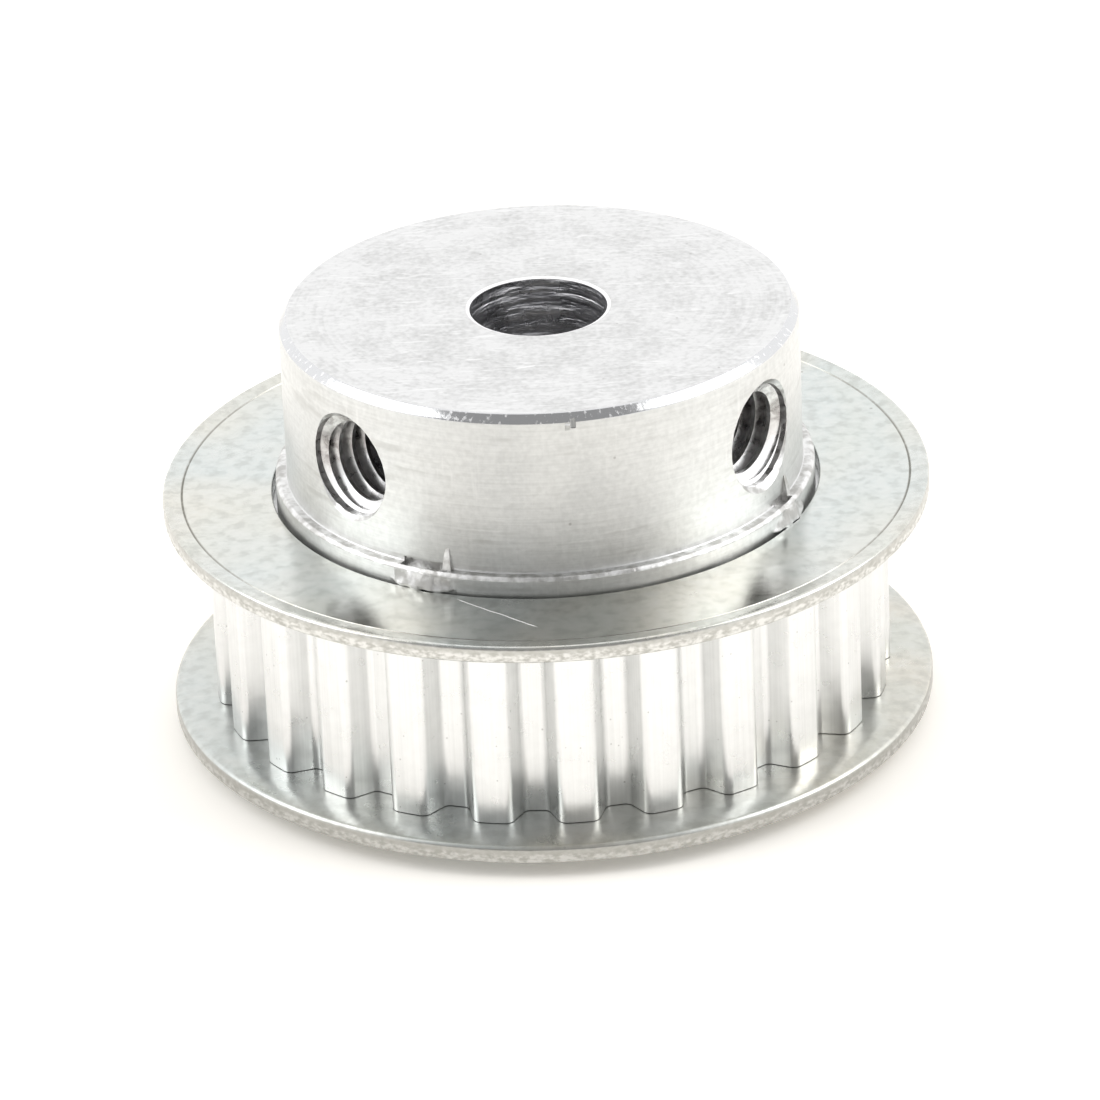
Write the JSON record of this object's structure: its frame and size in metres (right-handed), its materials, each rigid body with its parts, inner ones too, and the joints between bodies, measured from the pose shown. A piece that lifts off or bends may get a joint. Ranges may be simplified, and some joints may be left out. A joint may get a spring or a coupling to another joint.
{
  "type": "timing belt pulley",
  "caption": "Flanged toothed pulley for a straight-sided timing belt, with a one-sided hub, a plain bore and radial set screws.",
  "frame": {"origin": "centre of the bore at the back face, the end away from the hub", "axes": "+Z along the bore towards the hub's nose; -Y bisects roughly between the two tapped holes"},
  "size_m": [0.0449, 0.0448, 0.0254],
  "materials": {
    "body_aluminium": "bright turned and milled, uncoated",
    "flange_zinc_plate": "pressed sheet, zinc plated with a faint passivated tint",
    "screw_black_steel": "black oxide"
  },
  "bodies": {
    "pulley": {"pulley_body": "body_aluminium", "hub_side_flange": "flange_zinc_plate", "back_flange": "flange_zinc_plate"},
    "screw_1": {"set_screw_1": "screw_black_steel"},
    "screw_2": {"set_screw_2": "screw_black_steel"}
  },
  "joints": [
    {"name": "set_screw_1_travel", "type": "slide", "parent": "pulley", "child": "screw_1", "axis": [-0.749, -0.6626, 0], "range_m": [-0.001, 0.005]},
    {"name": "set_screw_2_travel", "type": "slide", "parent": "pulley", "child": "screw_2", "axis": [0.8339, -0.5519, 0], "range_m": [-0.001, 0.005]}
  ]
}
